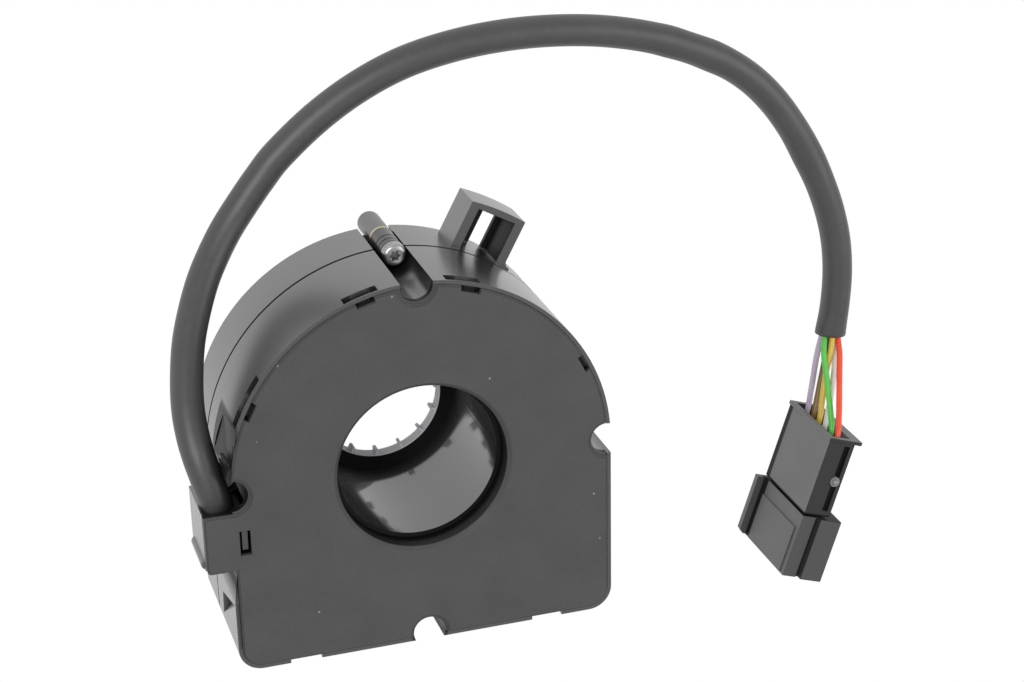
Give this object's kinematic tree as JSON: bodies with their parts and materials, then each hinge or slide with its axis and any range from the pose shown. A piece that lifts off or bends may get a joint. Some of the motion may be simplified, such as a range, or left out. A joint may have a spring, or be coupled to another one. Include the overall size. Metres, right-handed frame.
{
  "type": "steering angle sensor",
  "caption": "D-shaped steering angle sensor with a turning ring-shaped hub, a strap loop at its side, and a thick lead that ends in a flat plug with coloured wires.",
  "frame": {"origin": "on the bore axis, at the rear end of the driver ring, which the sensor lies on", "axes": "+Z along the bore axis, out of the front plate; +Y from the flat side towards the round top; +X to the right as seen from the front"},
  "size_m": [0.1759, 0.1482, 0.044],
  "materials": {
    "shell_black": "moulded, fairly glossy",
    "cover_grey": "moulded, satin",
    "hub_dark": "moulded, smooth",
    "ring_grey": "moulded, fine grain",
    "gear_white": "moulded",
    "magnet_grey": "plated",
    "board_green": "lacquered board",
    "chip_black": "moulded",
    "capacitor_tan": "ceramic",
    "header_black": "moulded",
    "screw_steel": "zinc plated",
    "collar_dark": "blackened metal",
    "ring_brass": "turned",
    "sleeve_metal": "turned",
    "gland_rubber": "moulded rubber",
    "lead_black": "satin sleeve",
    "wire_violet": "insulation",
    "wire_brown": "insulation",
    "wire_yellow": "insulation",
    "wire_white": "insulation",
    "wire_green": "insulation",
    "wire_red": "insulation",
    "plug_grey": "moulded, satin",
    "peg_grey": "moulded",
    "contact_metal": "tinned brass"
  },
  "bodies": {
    "housing": {"rear_shell": "shell_black", "front_shell": "shell_black", "front_cover": "cover_grey", "circuit_board": "board_green", "angle_chip_a": "chip_black", "angle_chip_b": "chip_black", "processor_chip": "chip_black", "board_capacitors": "capacitor_tan", "wire_header": "header_black", "board_screws": "screw_steel", "fixing_screw": "screw_steel", "screw_collar": "collar_dark", "brass_ring": "ring_brass", "spacer_sleeve": "sleeve_metal", "cable_gland": "gland_rubber", "gland_clip": "screw_steel", "cable_sleeve": "lead_black", "wire_violet": "wire_violet", "wire_brown": "wire_brown", "wire_yellow": "wire_yellow", "wire_white": "wire_white", "wire_green": "wire_green", "wire_red": "wire_red", "connector_body": "plug_grey", "connector_shroud": "plug_grey", "connector_peg": "peg_grey", "contact_pins": "contact_metal"},
    "rotor": {"rotor_hub": "hub_dark", "driver_ring": "ring_grey"},
    "gear_a": {"measuring_gear_a": "gear_white", "magnet_a": "magnet_grey"},
    "gear_b": {"measuring_gear_b": "gear_white", "magnet_b": "magnet_grey"}
  },
  "joints": [
    {"name": "rotor_spin", "type": "hinge", "parent": "housing", "child": "rotor", "pos_m": [0, 0, 0.025], "axis": [0, 0, 1], "continuous": true},
    {"name": "gear_a_spin", "type": "hinge", "parent": "housing", "child": "gear_a", "pos_m": [0.01701, -0.02429, 0.026], "axis": [0, 0, 1], "continuous": true},
    {"name": "gear_b_spin", "type": "hinge", "parent": "housing", "child": "gear_b", "pos_m": [-0.01729, -0.0247, 0.026], "axis": [0, 0, 1], "continuous": true}
  ],
  "couplings": [
    {"joint": "gear_a_spin", "follows": "rotor_spin", "ratio": -2.6875},
    {"joint": "gear_b_spin", "follows": "rotor_spin", "ratio": -2.5294}
  ]
}
